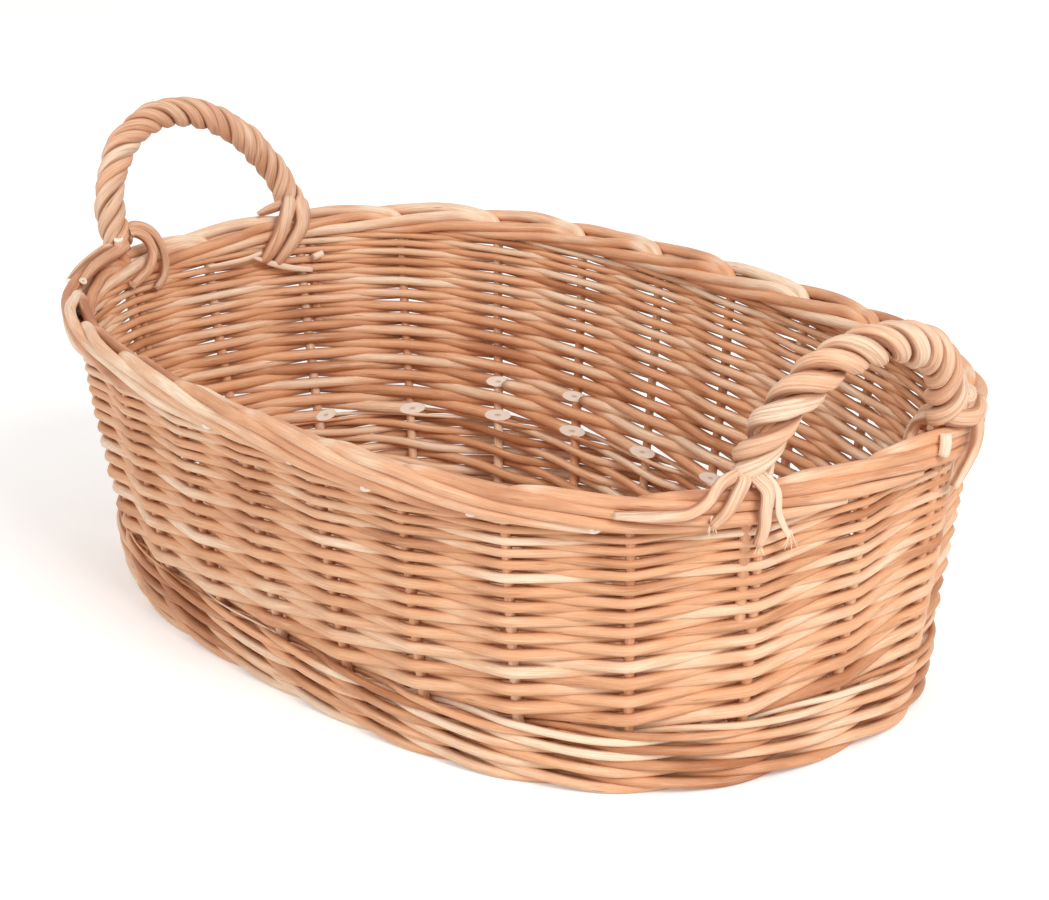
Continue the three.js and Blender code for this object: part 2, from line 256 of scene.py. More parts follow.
def addNode(tree, kind, links=(), **settings):
    # a node with its settings and its inputs, each a value or another node's output
    node = tree.nodes.new(kind)
    for key, value in settings.items():
        setattr(node, key, value)
    for socket, value in dict(links).items():
        if isinstance(value, bpy.types.NodeSocket):
            tree.links.new(value, node.inputs[socket])
        else:
            node.inputs[socket].default_value = value
    return node


def mathNode(tree, operation, *values, clamp=False):
    inputs = dict(enumerate(values))
    return addNode(tree, "ShaderNodeMath", inputs, operation=operation, use_clamp=clamp).outputs[0]


def plus(tree, a, b, clamp=False):
    return mathNode(tree, "ADD", a, b, clamp=clamp)


def minus(tree, a, b):
    return mathNode(tree, "SUBTRACT", a, b)


def times(tree, a, b):
    return mathNode(tree, "MULTIPLY", a, b)


def mixColour(tree, factor, a, b):
    return addNode(tree, "ShaderNodeMix", {0: factor, 6: a, 7: b}, data_type="RGBA").outputs[2]


def noiseAt(tree, vector, scale, detail=2.0, roughness=0.5):
    inputs = {"Vector": vector, "Scale": scale, "Detail": detail, "Roughness": roughness}
    return addNode(tree, "ShaderNodeTexNoise", inputs).outputs["Fac"]


def ease(tree, value, low, high):
    # 0 below low, 1 above high, smooth between
    inputs = {0: value, 1: low, 2: high}
    return addNode(tree, "ShaderNodeMapRange", inputs, interpolation_type="SMOOTHSTEP").outputs[0]


def startGroup(name, inputs, outputs):
    # a node group with its sockets: the group, what it is given and where it puts its results
    group = bpy.data.node_groups.new(name, "ShaderNodeTree")
    for label, kind, value in inputs:
        socket = group.interface.new_socket(label, in_out="INPUT", socket_type=kind)
        socket.default_value = value
    for label, kind in outputs:
        group.interface.new_socket(label, in_out="OUTPUT", socket_type=kind)
    return group, addNode(group, "NodeGroupInput").outputs, addNode(group, "NodeGroupOutput").inputs


barkLook = {
    # each pattern: its scales round the rod and along it, its detail and its roughness
    "slow": ((0.15, 22), 2, 0.5),
    "blotch": ((1.1, 60), 3, 0.6),
    "streak": ((6.0, 70), 4, 0.65),
    "fine": ((15.0, 160), 3, 0.7),
    "ring": ((0.6, 1500), 2, 0.5),
    "rubbed": ((1.6, 34), 3, 0.6),
    "crack": ((4.0, 26), 2, 0.5),
    "scarScales": (0.9, 24),
    # how much each one changes the colour
    "slowAmount": 0.7, "blotchAmount": 0.4, "grainAmount": 0.32, "fineAmount": 0.28,
    "rubbedAmount": 0.35, "scarAmount": 0.55, "crackAmount": 0.7,
    "scarColour": (0.2, 0.08, 0.04, 1),
    # over how much of the turn round a rod the painted shade along its flanks fades in
    "seamShadeWidth": 0.6,
    "toneShift": 173.0,           # how far rods of different tones lie apart in the patterns
}


def makeRodSpace():
    # wraps the rod's own UV round a unit circle, so that no pattern has a seam: out comes
    # (cos, sin, distance along the rod), shifted by the rod's tone
    group, given, put = startGroup(
        "rodSpace",
        [
            ("Across", "NodeSocketFloat", 1.0),
            ("Along", "NodeSocketFloat", 30.0),
            ("Twist", "NodeSocketFloat", 0.0),
        ],
        [("Vector", "NodeSocketVector")],
    )
    uv = addNode(group, "ShaderNodeUVMap", uv_map="rodUV").outputs[0]
    tone = addNode(group, "ShaderNodeAttribute", attribute_name="rodTone").outputs["Fac"]
    parts = addNode(group, "ShaderNodeSeparateXYZ", {0: uv}).outputs
    turn = plus(group, times(group, parts[0], 2 * math.pi), times(group, parts[1], given["Twist"]))
    x = times(group, mathNode(group, "COSINE", turn), given["Across"])
    y = times(group, mathNode(group, "SINE", turn), given["Across"])
    z = plus(group, times(group, parts[1], given["Along"]), times(group, tone, barkLook["toneShift"]))
    group.links.new(addNode(group, "ShaderNodeCombineXYZ", {0: x, 1: y, 2: z}).outputs[0], put["Vector"])


def makeBark():
    # buff willow: each rod's own tone, slow changes along it, long fibre streaks, faint rings,
    # rubbed pale patches and small dark bud scars, and painted shade along the flanks where rods lie
    # together
    group, given, put = startGroup(
        "willowBark",
        [
            ("Pale", "NodeSocketColor", (0.8, 0.55, 0.33, 1)),
            ("Warm", "NodeSocketColor", (0.66, 0.35, 0.16, 1)),
            ("Deep", "NodeSocketColor", (0.38, 0.16, 0.06, 1)),
            ("Spread", "NodeSocketFloat", 1.0),
            ("Twist", "NodeSocketFloat", 0.0),
            ("Cracks", "NodeSocketFloat", 0.0),
            # painted shade along a rod's flanks, where it touches its neighbours: how strong, and where
            # round the rod it starts
            ("Painted Seam Shade", "NodeSocketFloat", 0.0),
            ("Painted Shade Start", "NodeSocketFloat", 0.5),
        ],
        [("Color", "NodeSocketColor"), ("Roughness", "NodeSocketFloat"), ("Height", "NodeSocketFloat")],
    )

    def space(across, along):
        node = group.nodes.new("ShaderNodeGroup")
        node.node_tree = bpy.data.node_groups["rodSpace"]
        node.inputs["Across"].default_value = across
        node.inputs["Along"].default_value = along
        group.links.new(given["Twist"], node.inputs["Twist"])
        return node.outputs[0]

    def pattern(name):
        scales, detail, roughness = barkLook[name]
        return noiseAt(group, space(*scales), 1.0, detail, roughness)

    def between(name, amount):
        # the pattern about 0, from -amount / 2 to amount / 2
        return times(group, minus(group, pattern(name), 0.5), amount)

    def without(mask):
        return minus(group, 1.0, mask)

    pale, warm, deep = given["Pale"], given["Warm"], given["Deep"]
    tone = addNode(group, "ShaderNodeAttribute", attribute_name="rodTone").outputs["Fac"]
    drift = addNode(group, "ShaderNodeAttribute", attribute_name="rodShade").outputs["Fac"]
    shade = plus(group, plus(group, tone, drift), between("slow", barkLook["slowAmount"]))
    shade = plus(group, shade, between("blotch", barkLook["blotchAmount"]))
    shade = plus(group, 0.5, times(group, minus(group, shade, 0.5), given["Spread"]), clamp=True)
    darker = mixColour(group, ease(group, shade, 0.0, 0.55), deep, warm)
    body = mixColour(group, ease(group, shade, 0.5, 1.0), darker, pale)

    streak, fine = pattern("streak"), pattern("fine")
    grain = times(group, without(ease(group, streak, 0.38, 0.62)), barkLook["grainAmount"])
    body = mixColour(group, grain, body, deep)
    body = mixColour(group, times(group, ease(group, fine, 0.55, 0.75), barkLook["fineAmount"]), body, pale)
    rubbed = times(group, ease(group, pattern("rubbed"), 0.56, 0.72), barkLook["rubbedAmount"])
    body = mixColour(group, rubbed, body, pale)

    spots = {"Vector": space(*barkLook["scarScales"]), "Scale": 1.0}
    spots = addNode(group, "ShaderNodeTexVoronoi", spots, distance="EUCLIDEAN").outputs["Distance"]
    scar = without(ease(group, spots, 0.035, 0.1))
    body = mixColour(group, times(group, scar, barkLook["scarAmount"]), body, barkLook["scarColour"])
    crack = times(group, without(ease(group, pattern("crack"), 0.36, 0.43)), given["Cracks"])
    body = mixColour(group, times(group, crack, barkLook["crackAmount"]), body, deep)

    # painted shade: darker along both flanks of a rod, where it lies against its neighbours and shade falls
    # between them
    uv = addNode(group, "ShaderNodeUVMap", uv_map="rodUV").outputs[0]
    around = times(group, addNode(group, "ShaderNodeSeparateXYZ", {0: uv}).outputs[0], 2 * math.pi)
    flank = mathNode(group, "ABSOLUTE", mathNode(group, "COSINE", around))
    seamShadeEnd = minus(group, given["Painted Shade Start"], barkLook["seamShadeWidth"])
    seamShade = times(group, without(ease(group, flank, seamShadeEnd, given["Painted Shade Start"])), given["Painted Seam Shade"])
    group.links.new(mixColour(group, seamShade, body, deep), put["Color"])

    rough = plus(group, 0.40, times(group, fine, 0.22))
    group.links.new(plus(group, rough, times(group, crack, 0.2), clamp=True), put["Roughness"])
    height = plus(group, times(group, streak, 0.7), times(group, fine, 0.3))
    height = plus(group, height, times(group, pattern("ring"), 0.12))
    height = minus(group, height, plus(group, times(group, scar, 0.6), times(group, crack, 1.1)))
    group.links.new(height, put["Height"])


makeRodSpace()
makeBark()


def willow(name, look):
    # the bark group with the look's own values, and its relief as a bump of so many millimetres
    material = bpy.data.materials.new(name)
    material.use_nodes = True
    tree = material.node_tree
    shader = tree.nodes["Principled BSDF"]
    bark = tree.nodes.new("ShaderNodeGroup")
    bark.node_tree = bpy.data.node_groups["willowBark"]
    for label, value in look["bark"].items():
        bark.inputs[label].default_value = value
    tree.links.new(bark.outputs["Color"], shader.inputs["Base Color"])
    tree.links.new(bark.outputs["Roughness"], shader.inputs["Roughness"])
    relief = {"Height": bark.outputs["Height"], "Strength": look["bump"], "Distance": look["depth"] * mm}
    bump = addNode(tree, "ShaderNodeBump", relief)
    tree.links.new(bump.outputs[0], shader.inputs["Normal"])
    shader.inputs["Specular IOR Level"].default_value = look["gloss"]
    material.diffuse_color = look["bark"]["Warm"]
    return material


willowLooks = {
    "weaving": {
        "bark": {
            "Pale": (0.96, 0.77, 0.57, 1), "Warm": (0.81, 0.43, 0.23, 1), "Deep": (0.40, 0.14, 0.05, 1),
            # painted shade along the flanks, where the woven rods lie against each other
            "Spread": 1.0, "Painted Seam Shade": 0.62, "Painted Shade Start": 0.56,
        },
        "bump": 0.6, "depth": 0.3, "gloss": 0.45,
    },
    "border": {
        "bark": {
            "Pale": (0.95, 0.74, 0.54, 1), "Warm": (0.80, 0.42, 0.23, 1), "Deep": (0.42, 0.15, 0.06, 1),
            "Spread": 1.0,
        },
        "bump": 0.6, "depth": 0.3, "gloss": 0.5,
    },
    "handle": {
        "bark": {
            "Pale": (0.95, 0.75, 0.56, 1), "Warm": (0.82, 0.46, 0.28, 1), "Deep": (0.38, 0.15, 0.07, 1),
            # painted shade along the flanks, where the twisted strands lie against each other
            "Spread": 0.9, "Twist": 35.0, "Cracks": 0.5, "Painted Seam Shade": 0.85, "Painted Shade Start": 0.74,
        },
        "bump": 0.8, "depth": 0.45, "gloss": 0.45,
    },
    "split": {
        "bark": {
            "Pale": (0.95, 0.77, 0.60, 1), "Warm": (0.86, 0.55, 0.37, 1), "Deep": (0.50, 0.24, 0.13, 1),
            "Spread": 1.0,
        },
        "bump": 0.5, "depth": 0.2, "gloss": 0.3,
    },
    "base": {
        "bark": {
            "Pale": (0.84, 0.58, 0.40, 1), "Warm": (0.68, 0.36, 0.20, 1), "Deep": (0.42, 0.17, 0.08, 1),
            "Spread": 1.0,
        },
        "bump": 0.6, "depth": 0.3, "gloss": 0.4,
    },
}
madeWillows = [willow(k + "Willow", v) for k, v in willowLooks.items()]
weavingWillow, borderWillow, handleWillow, splitWillow, baseWillow = madeWillows


cutLook = {
    "pale": (1.0, 0.96, 0.88, 1), "cream": (0.96, 0.86, 0.72, 1),
    "rim": (0.70, 0.44, 0.26, 1), "pith": (0.5, 0.33, 0.2, 1), "pithAmount": 0.6,
}


def makeCutWood():
    # a cut end: pale wood with a brown pith in the middle and a thin dark bark rim
    material = bpy.data.materials.new("cutWood")
    material.use_nodes = True
    tree = material.node_tree
    shader = tree.nodes["Principled BSDF"]
    uv = addNode(tree, "ShaderNodeUVMap", uv_map="endUV").outputs[0]
    far = addNode(tree, "ShaderNodeVectorMath", {0: uv}, operation="LENGTH").outputs["Value"]
    grain = noiseAt(tree, uv, 9.0, 4)
    wood = mixColour(tree, ease(tree, grain, 0.35, 0.7), cutLook["pale"], cutLook["cream"])
    wood = mixColour(tree, ease(tree, far, 0.88, 1.0), wood, cutLook["rim"])
    pith = times(tree, minus(tree, 1.0, ease(tree, far, 0.1, 0.34)), cutLook["pithAmount"])
    wood = mixColour(tree, pith, wood, cutLook["pith"])
    tree.links.new(wood, shader.inputs["Base Color"])
    shader.inputs["Roughness"].default_value = 0.75
    return material


cutWood = makeCutWood()
print("materials made")


# The wall: French randing.

randing = {
    "rows": 29,
    "lowest": 29.2,          # height of the first row, on top of the wale
    "highest": 121.0,        # height of the last, under the border
    "pitch": (4.3, 1.9),     # row spacing at the foot and at the top: the rods taper
    "fullness": (1.28, 1.50),  # rod width against row spacing: the rows press together
    "pressed": 0.66,         # how far out a rod passes a stake, against touching it
    "corner": 0.06,          # how far from a stake a rod starts to turn, in spacings
    "ringsPerStake": 14,
    "sides": 10,
    "wobble": (0.12, 0.25),  # how unevenly a rod lies, outside and in height
    "butt": (0.3, 0.2),      # how much thicker a rod starts, and over which part of a spacing
    "slants": (2.0, 1.0),    # how steeply a rod's start and its end are cut
    "tones": (0.3, 0.82),
    # weavers that are pieced: a short rod first, then one that starts higher up
    "pieced": {5: [(0, 3.84), (4, 29.1)], 4: [(0, 3.84), (4, 29.1)]},
}


def rowHeights():
    # spacings taper evenly and are stretched to end at the highest row
    gaps = np.linspace(*randing["pitch"], randing["rows"])
    gaps *= (randing["highest"] - randing["lowest"]) / gaps.sum()
    return np.concatenate([[0], np.cumsum(gaps)]) + randing["lowest"], np.append(gaps, gaps[-1])


rowZ, rowGap = rowHeights()
rowWidth = rowGap * np.linspace(*randing["fullness"], len(rowGap))


def passing(diameter):
    # how far from a stake's middle a rod's middle passes when they touch
    return (basket["stakeWidth"] + diameter) / 2


def weaverKnots(number, first, last):
    # one knot at each stake passed, inside and outside in turn, one row up for each
    rows = np.arange(first - 1, last + 2)
    kept = np.clip(rows, first, last)
    side = np.where(kept % 2 == 0, -1, 1)
    outWobble, upWobble = randing["wobble"]
    out = side * passing(rowWidth[kept]) * randing["pressed"] + dice.normal(0, outWobble, len(rows))
    z = rowZ[kept] + dice.normal(0, upWobble, len(rows))
    return wallPoint(number + rows, z, out)


def makeWeaver(number, first, last):
    # a rod from its pale slanting butt at row first to its thin end at row last
    lap = dice.uniform(0.0, 0.08)
    k = np.linspace(first - lap, last, int((last - first) * randing["ringsPerStake"]))
    line = roundCorners(weaverKnots(number, first, math.ceil(last - 0.5)), k - first + 1, randing["corner"])
    diameter = np.interp(k, np.arange(len(rowWidth)), rowWidth) * (1 + wander(len(k), 0.03, 22))
    thicker, over = randing["butt"]
    diameter = diameter + thicker * np.exp(-(k - first + lap) / over)
    startSlant, endSlant = randing["slants"]
    return carry(
        line, diameter / 2, outwardAt(number + k), randing["sides"],
        startCut=(startSlant, -outwardAt(number + first - lap)),
        endCut=(endSlant, -outwardAt(number + last)),
        tone=dice.uniform(*randing["tones"]), shade=wander(len(k), 0.08, 40),
    )


for number in range(basket["stakes"]):
    label = "%02d" % (number + 1)
    spans = randing["pieced"].get(number, [(0, randing["rows"] + 0.1)])
    rods = [makeWeaver(number, first, last) for first, last in spans]
    makePiece("weaverRod" + label, rods, [weavingWillow, cutWood], ["weaver_" + label])
print("wall woven:", basket["stakes"], "weavers,", randing["rows"] + 1, "rows")


# The stakes and the plain border.

border = {
    "rodWidth": 5.2,
    "top": 130.2,            # middle of the highest rod
    "step": 4.7,             # height that a laid rod loses from stake to stake
    "outside": 4.9,
    "tipWidth": 3.2,
    "wobble": (0.3, 0.28),   # how unevenly a rod lies, in height and outside
    "paleBend": 0.3,         # how much paler a rod is where it bends over
    "sides": 12,
}


def layRod(number, knots, tone, endCut=None):
    # a rod through knots of stations from its own stake, heights, distances outside and widths
    knots = np.array(knots, float)
    upWobble, outWobble = border["wobble"]
    knots[:, 1] += dice.normal(0, upWobble, len(knots))
    knots[:, 2] += dice.normal(0, outWobble, len(knots))
    points = np.column_stack([wallPoint(number + knots[:, 0], knots[:, 1], knots[:, 2]), knots])
    dense = smoothThrough(points, 2.0)
    width = dense[:, 6] * (1 + wander(len(dense), 0.025, 14)) * dice.uniform(0.93, 1.07)
    bend = np.exp(-((dense[:, 3] - 0.25) / 0.12) ** 2)
    shade = wander(len(dense), 0.13, 30) + border["paleBend"] * bend
    return carry(
        dense[:, :3], width / 2, outwardAt(number + dense[:, 3]), border["sides"],
        endCut=endCut, tone=tone, shade=shade,
    )


def makeStake(number):
    # the stake rises and lies down outside, before three others, and its mate lies down inside;
    # each knot is a station, a height, a distance outside and a width
    top, out, width = border["top"], border["outside"], border["rodWidth"]
    level = lambda passed: top - 1.0 - (passed - 1) * border["step"]
    upright = [[0, 1.6, 0, 4.5], [0, 40, 0, 4.4], [0, 80, 0, 4.4], [0, 112, 0, 4.5], [0, top - 5, 0, 4.9]]
    over = [[0.06, top - 2.4, 0.6, width], [0.26, top - 0.3, 1.6, width * 1.04]]
    over += [[0.6, top + 0.2, 3.4, width * 1.03]]
    laid = [[s, level(s), out, width] for s in (1, 1.5, 2, 2.5)]
    reach = 3.4 + dice.uniform(0.1, 0.5)
    tip = [[3, level(3), out, width * 0.95], [3.3, level(3.2), 0.9 * out, width * 0.8]]
    tip += [[reach, level(3.3) - 0.8, 0.7 * out, border["tipWidth"]]]
    tipCut = (-1.2, outwardAt(number + reach))
    outer = layRod(number, upright + over + laid + tip, dice.uniform(0.25, 0.9), tipCut)
    start = [[0.02, top - 4.5, -0.8, width * 0.7], [0.3, top - 1.4, -1.8, width * 0.92]]
    start += [[0.7, top - 2.9, -3.2, width]]
    inside = [[1.1, top - 4.6, -0.8 * out, width * 0.98], [1.5, top - 6.2, -0.8 * out, width * 0.95]]
    end = [[1.9, top - 7.5, -0.7 * out, width * 0.88], [2.3, top - 8.4, -0.5 * out, width * 0.7]]
    end += [[2.6, top - 9.0, -0.1 * out, width * 0.45]]
    inner = layRod(number, start + inside + end, dice.uniform(0.2, 0.85))
    return [outer, inner]


for number in range(basket["stakes"]):
    label = "%02d" % (number + 1)
    rods = makeStake(number)
    makePiece("borderStake" + label, rods, [borderWillow, cutWood], ["stake_" + label])
print("stakes laid down into the border")


# The wale at the foot.

wale = {
    "height": 28.0,
    "rodWidth": 3.15,
    "spread": 0.3,           # slack between the two rods of a layer that are seen outside
    "frontSpread": 0.5,
    "crossing": 0.24,        # how far from a stake a rod goes through the wall, in spacings
    "crossHeight": 0.75,     # how low it goes through, against the full drop of a layer
    "pressed": 0.78,
    "thinnest": 0.12,        # the layers start and end at this part of their full height
    "gap": 0.3,
    "fuller": 0.95,          # the rods press together by this much
    "thinning": 0.24,        # the rods are this part thicker at the floor, and thinner at the top
    "sides": 12,
}
wale["layer"] = 2 * wale["rodWidth"] + wale["spread"] + 2 * wale["gap"]
wale["turns"] = wale["height"] / wale["layer"] + 1


def layerShare(turns):
    # the part of its full height that a layer has: it grows over the first turn and shrinks over the last
    return np.clip(np.minimum(turns, wale["turns"] - turns), 0, 1)


def layerMiddle(turns):
    # the layers of the turns before it, added up, and half of its own
    below = sum(np.where(turns - t > 0, layerShare(np.maximum(turns - t, 0)), 0) for t in range(1, 7))
    return (below + layerShare(turns) / 2) * wale["layer"]


def makeWaleRod(number):
    # before two stakes, the second lower than the first is high, and behind one
    stakes = basket["stakes"]
    firstStep = math.ceil(wale["thinnest"] * stakes)
    lastStep = math.floor((wale["turns"] - wale["thinnest"]) * stakes)
    knots = []
    low, crossing = wale["crossHeight"], wale["crossing"]
    behind = [(-crossing, -low, -low), (crossing, low, -low)]
    for step in range(firstStep, lastStep + 1):
        for shift, level, side in [behind, [(0, 1, 1)], [(0, -1, 1)]][(step + number) % 3]:
            turns = (step + shift) / stakes
            share = layerShare(turns)
            diameter = (share * wale["layer"] - share * wale["spread"] - 2 * wale["gap"]) / 2
            rise = (diameter + wale["gap"] + share * wale["spread"]) / 2
            width = diameter + wale["fuller"]
            out = side * passing(width) * wale["pressed"] + (wale["frontSpread"] * share if side > 0 else 0)
            z = layerMiddle(turns) + level * rise
            thinner = 1 + wale["thinning"] * (1 - 2 * z / wale["height"])
            z *= 1 + wale["thinning"] * (1 - z / wale["height"])
            knots.append([step + shift, z, out, width * thinner])
    knots = np.array(knots)
    knots[:, 2] += dice.normal(0, 0.15, len(knots))
    points = np.column_stack([wallPoint(knots[:, 0], knots[:, 1], knots[:, 2]), knots])
    dense = smoothThrough(points, 2.6)
    dense[:, 2] = np.maximum(dense[:, 2], dense[:, 6] / 2 + 0.1)
    shade = wander(len(dense), 0.22, 60)
    away, tone = outwardAt(dense[:, 3]), 0.4 + 0.15 * number
    return carry(dense[:, :3], dense[:, 6] / 2, away, wale["sides"], tone=tone, shade=shade)


for number in range(3):
    rod = makeWaleRod(number)
    makePiece("waleRod%d" % (number + 1), [rod], [weavingWillow, cutWood], ["wale_rod_%d" % (number + 1)])
print("wale worked round the foot")


# The handles.

handles = {
    "right": {
        "middle": 0, "turned": 0, "lean": (19, -4, 46), "end": 1,
        "strands": 3, "lead": 36.0, "strandWidth": 7.9, "strandDepth": 6.6,
        # where the strands end, from each foot of the winding: stations, heights, distances
        # outside the wall's middle line, and widths
        "firstFoot": [
            [(22.82, 138.6, 4, 5.8), (22.64, 135.9, 6, 5.2), (22.53, 130.4, 9.9, 5.0),
             (22.41, 126.6, 10.5, 4.8), (22.24, 126, 10.5, 4.6), (22.07, 126.2, 10, 4.2),
             (21.9, 125.6, 8.2, 3.4)],
            [(22.80, 137.2, 7, 6.2), (22.73, 132.5, 10.4, 5.8), (22.65, 125.6, 10.8, 5.2),
             (22.56, 120.5, 9.8, 4.2)],
            [(22.88, 138.2, 6, 6.0), (22.94, 133, 10.2, 5.8), (22.93, 124.3, 10.9, 5.5),
             (22.93, 116, 10.4, 5.2), (22.90, 110.0, 9.8, 4.8)],
        ],
        "lastFoot": [
            [(1.12, 143, 6, 7.4), (1.08, 140.4, 7, 7.4), (0.98, 139.2, 3, 7.2),
             (0.93, 138, -2, 6.8), (0.95, 134.5, -9, 6.2), (0.99, 128.5, -10.8, 5.6)],
            [(1.16, 139.2, 9, 7.4), (1.02, 135.8, 11, 7.4), (0.84, 136.8, 6, 7.0),
             (0.8, 136.4, 0, 6.4), (0.82, 133, -8.6, 5.8), (0.8, 127.6, -10.8, 5.2),
             (0.72, 124.5, -10, 4.4)],
            [(1.12, 139, 6, 6.6), (1.06, 133, 10.8, 6.2), (1.06, 122, 11, 5.6),
             (0.92, 112.5, 10.4, 5.0), (0.86, 107.5, 9.4, 4.4)],
        ],
    },
    "left": {
        "middle": 12, "turned": 0.15, "lean": (-12, -12, 56), "end": -1,
        "strands": 4, "lead": 35.0, "strandWidth": 6.3, "strandDepth": 5.0,
        "firstFoot": [
            [(11.12, 140.5, -6, 7.2), (11.2, 134.5, -10, 7.4), (11.31, 125.5, -10.8, 7.0),
             (11.44, 117.8, -9.8, 6.0), (11.49, 114, -8, 4.6)],
            [(11.0, 139, -6.5, 7.2), (11.04, 129.5, -10.4, 7.4), (11.15, 122.7, -10.8, 7.0),
             (11.28, 115.8, -9.8, 6.0), (11.34, 112, -8, 4.6)],
            [(11.1, 139.8, -3, 6.0), (11.19, 138.2, -2, 5.8), (11.31, 136.6, -1, 5.0),
             (11.41, 135.2, -0.6, 3.0)],
            [(10.98, 138.5, 5, 5.4), (10.95, 133, 10, 5.2), (10.93, 124, 10.6, 5.0),
             (10.92, 111, 10, 4.6)],
        ],
        "lastFoot": [
            [(12.98, 143.5, -5, 5.4), (12.87, 141, -8, 5.4), (12.81, 133.1, -10.4, 5.2),
             (12.9, 126.5, -10.8, 5.2), (13.05, 123.2, -10, 5.0), (13.16, 121, -8.8, 4.6)],
            [(12.93, 146, -4.5, 4.6), (12.8, 143.3, -8, 4.4), (12.69, 135.2, -10.4, 4.2),
             (12.66, 127.2, -10.6, 4.2), (12.69, 120.3, -10, 4.2), (12.79, 114.8, -8.2, 4.0)],
            [(13.05, 138.4, -4, 6.2), (13.16, 136.6, -3.6, 6.2), (13.36, 135.6, -3.0, 6.0),
             (13.6, 134.6, -1.6, 5.4), (13.86, 132, 0, 4.2)],
            [(13.1, 138, 1.5, 6.4), (13.18, 136.6, 3.2, 6.4), (13.34, 135.6, 3.8, 6.0),
             (13.58, 134, 5.0, 5.2), (13.8, 130.5, 7.4, 4.2)],
        ],
    },
}
windingLook = {
    "bowWidth": 4.6, "flat": 0.85, "lens": 0.15, "trimmed": 2.5, "sides": 16,
    "wobble": 0.06,          # how much a strand's width, depth and outline vary
    "turnWobble": 0.16,
    "tones": (0.4, 0.75),
}


def bowLine(handle):
    # up one leg, over a half ellipse that leans out, and down the other leg: the ellipse is
    # centre - half * cos + lean * sin
    legs = [handle["middle"] + way - basket["legShift"] for way in (-1, 1)]
    feet = [wallPoint(leg + handle["turned"], basket["height"]) for leg in legs]
    centre, half = (feet[0] + feet[1]) / 2, (feet[1] - feet[0]) / 2
    angle = np.linspace(0, np.pi, 41)[:, None]
    arch = centre - half * np.cos(angle) + np.array(handle["lean"], float) * np.sin(angle)
    low = [wallPoint(legs[0], z) for z in (72, 95, 118)]
    high = [wallPoint(legs[1], z) for z in (118, 95, 72)]
    return arch, np.concatenate([low, arch, high])


def nearestOrder(ends, feet):
    # which strand goes on into which end, so that together they move the least
    first = [wallPoint(*foot[0][:3]) for foot in feet]
    orders = list(itertools.permutations(range(len(ends))))
    moves = [sum(np.linalg.norm(ends[k] - first[i]) for i, k in enumerate(order)) for order in orders]
    order = orders[int(np.argmin(moves))]
    return [order.index(k) for k in range(len(ends))]


def strandTail(lead, foot):
    # from the last points of the winding over the border, its back up, and down the wall, its
    # back away from the wall; the columns are place, width, depth and the way the back faces
    station, z, outside, width = np.array(foot).T
    beside = np.clip(outside / 9, -1, 1)[:, None]
    back = unit(outwardAt(station) * beside + np.array([0, 0, 1.0]) * (1 - np.abs(beside)))
    knots = np.column_stack([wallPoint(station, z, outside), width, width * windingLook["flat"], back])
    lead = np.column_stack([lead, np.arange(1 - len(lead), 1)])
    knots = np.column_stack([knots, np.arange(len(knots)) + 1])
    dense = smoothThrough(np.concatenate([lead, knots]), 1.6)
    return dense[dense[:, 8] > 0.05, :8]


def makeWinding(name, handle):
    # each strand is a helix round the arch, flattened to a lens, that goes on into its two ends
    arch, line = bowLine(handle)
    bow = smoothThrough(line, 2.5)
    sideways = np.array([handle["end"], 0, 0.0])
    bowRod = carry(bow, windingLook["bowWidth"] / 2, sideways, tone=0.4)
    nodes = ["handle_%s_bow" % name]
    makePiece(name + "HandleBow", [bowRod], [borderWillow, cutWood], nodes)
    middle = smoothThrough(arch, 1.2)
    tangent, first, second = frameAlong(middle, sideways)
    run = lengthAlong(middle)
    wound = (run > windingLook["trimmed"]) & (run < run[-1] - windingLook["trimmed"])
    strands = []
    for number in range(handle["strands"]):
        turn = 2 * np.pi * (run / handle["lead"] + number / handle["strands"])
        turn = turn + wander(len(run), windingLook["turnWobble"], 16)
        depth = handle["strandDepth"] * (1 + wander(len(run), windingLook["wobble"], 12))
        out = first * np.cos(turn)[:, None] + second * np.sin(turn)[:, None]
        place = middle + out * ((windingLook["bowWidth"] + depth) / 2 - 0.3)[:, None]
        across = handle["strandWidth"] * (1 + wander(len(run), windingLook["wobble"], 12))
        strands.append(np.column_stack([place, across, depth, out])[wound])
    starts = nearestOrder([s[0, :3] for s in strands], handle["firstFoot"])
    ends = nearestOrder([s[-1, :3] for s in strands], handle["lastFoot"])
    theta = cornerAngles(windingLook["sides"])
    lens = np.abs(np.cos(theta)) ** windingLook["lens"]
    for number, strand in enumerate(strands):
        before = strandTail(strand[[9, 6, 3, 0]], handle["firstFoot"][starts[number]])[::-1]
        after = strandTail(strand[[-10, -7, -4, -1]], handle["lastFoot"][ends[number]])
        whole = np.concatenate([before, strand, after])
        roll = np.arange(len(whole))[:, None] * 0.23 + dice.uniform(0, 6)
        lobes = 1 + windingLook["wobble"] * np.cos(3 * theta[None] + roll)
        lobes = lobes + 0.04 * np.cos(5 * theta[None] - 1.7 * roll)
        section = np.stack([
            np.cos(theta)[None] * lens * lobes * whole[:, 4:5] / 2,
            np.sin(theta)[None] * lobes * whole[:, 3:4] / 2,
        ], -1)
        rod = carry(
            whole[:, :3], 1.0, whole[:, 5:8], windingLook["sides"], section,
            tone=dice.uniform(*windingLook["tones"]), shade=wander(len(whole), 0.1, 25),
        )
        nodes = ["handle_%s_strand_%d" % (name, number + 1)] if number < 3 else []
        label = "%sHandleStrand%d" % (name, number + 1)
        makePiece(label, [rod], [handleWillow, cutWood], nodes)


for name, handle in handles.items():
    makeWinding(name, handle)
print("handles wound")


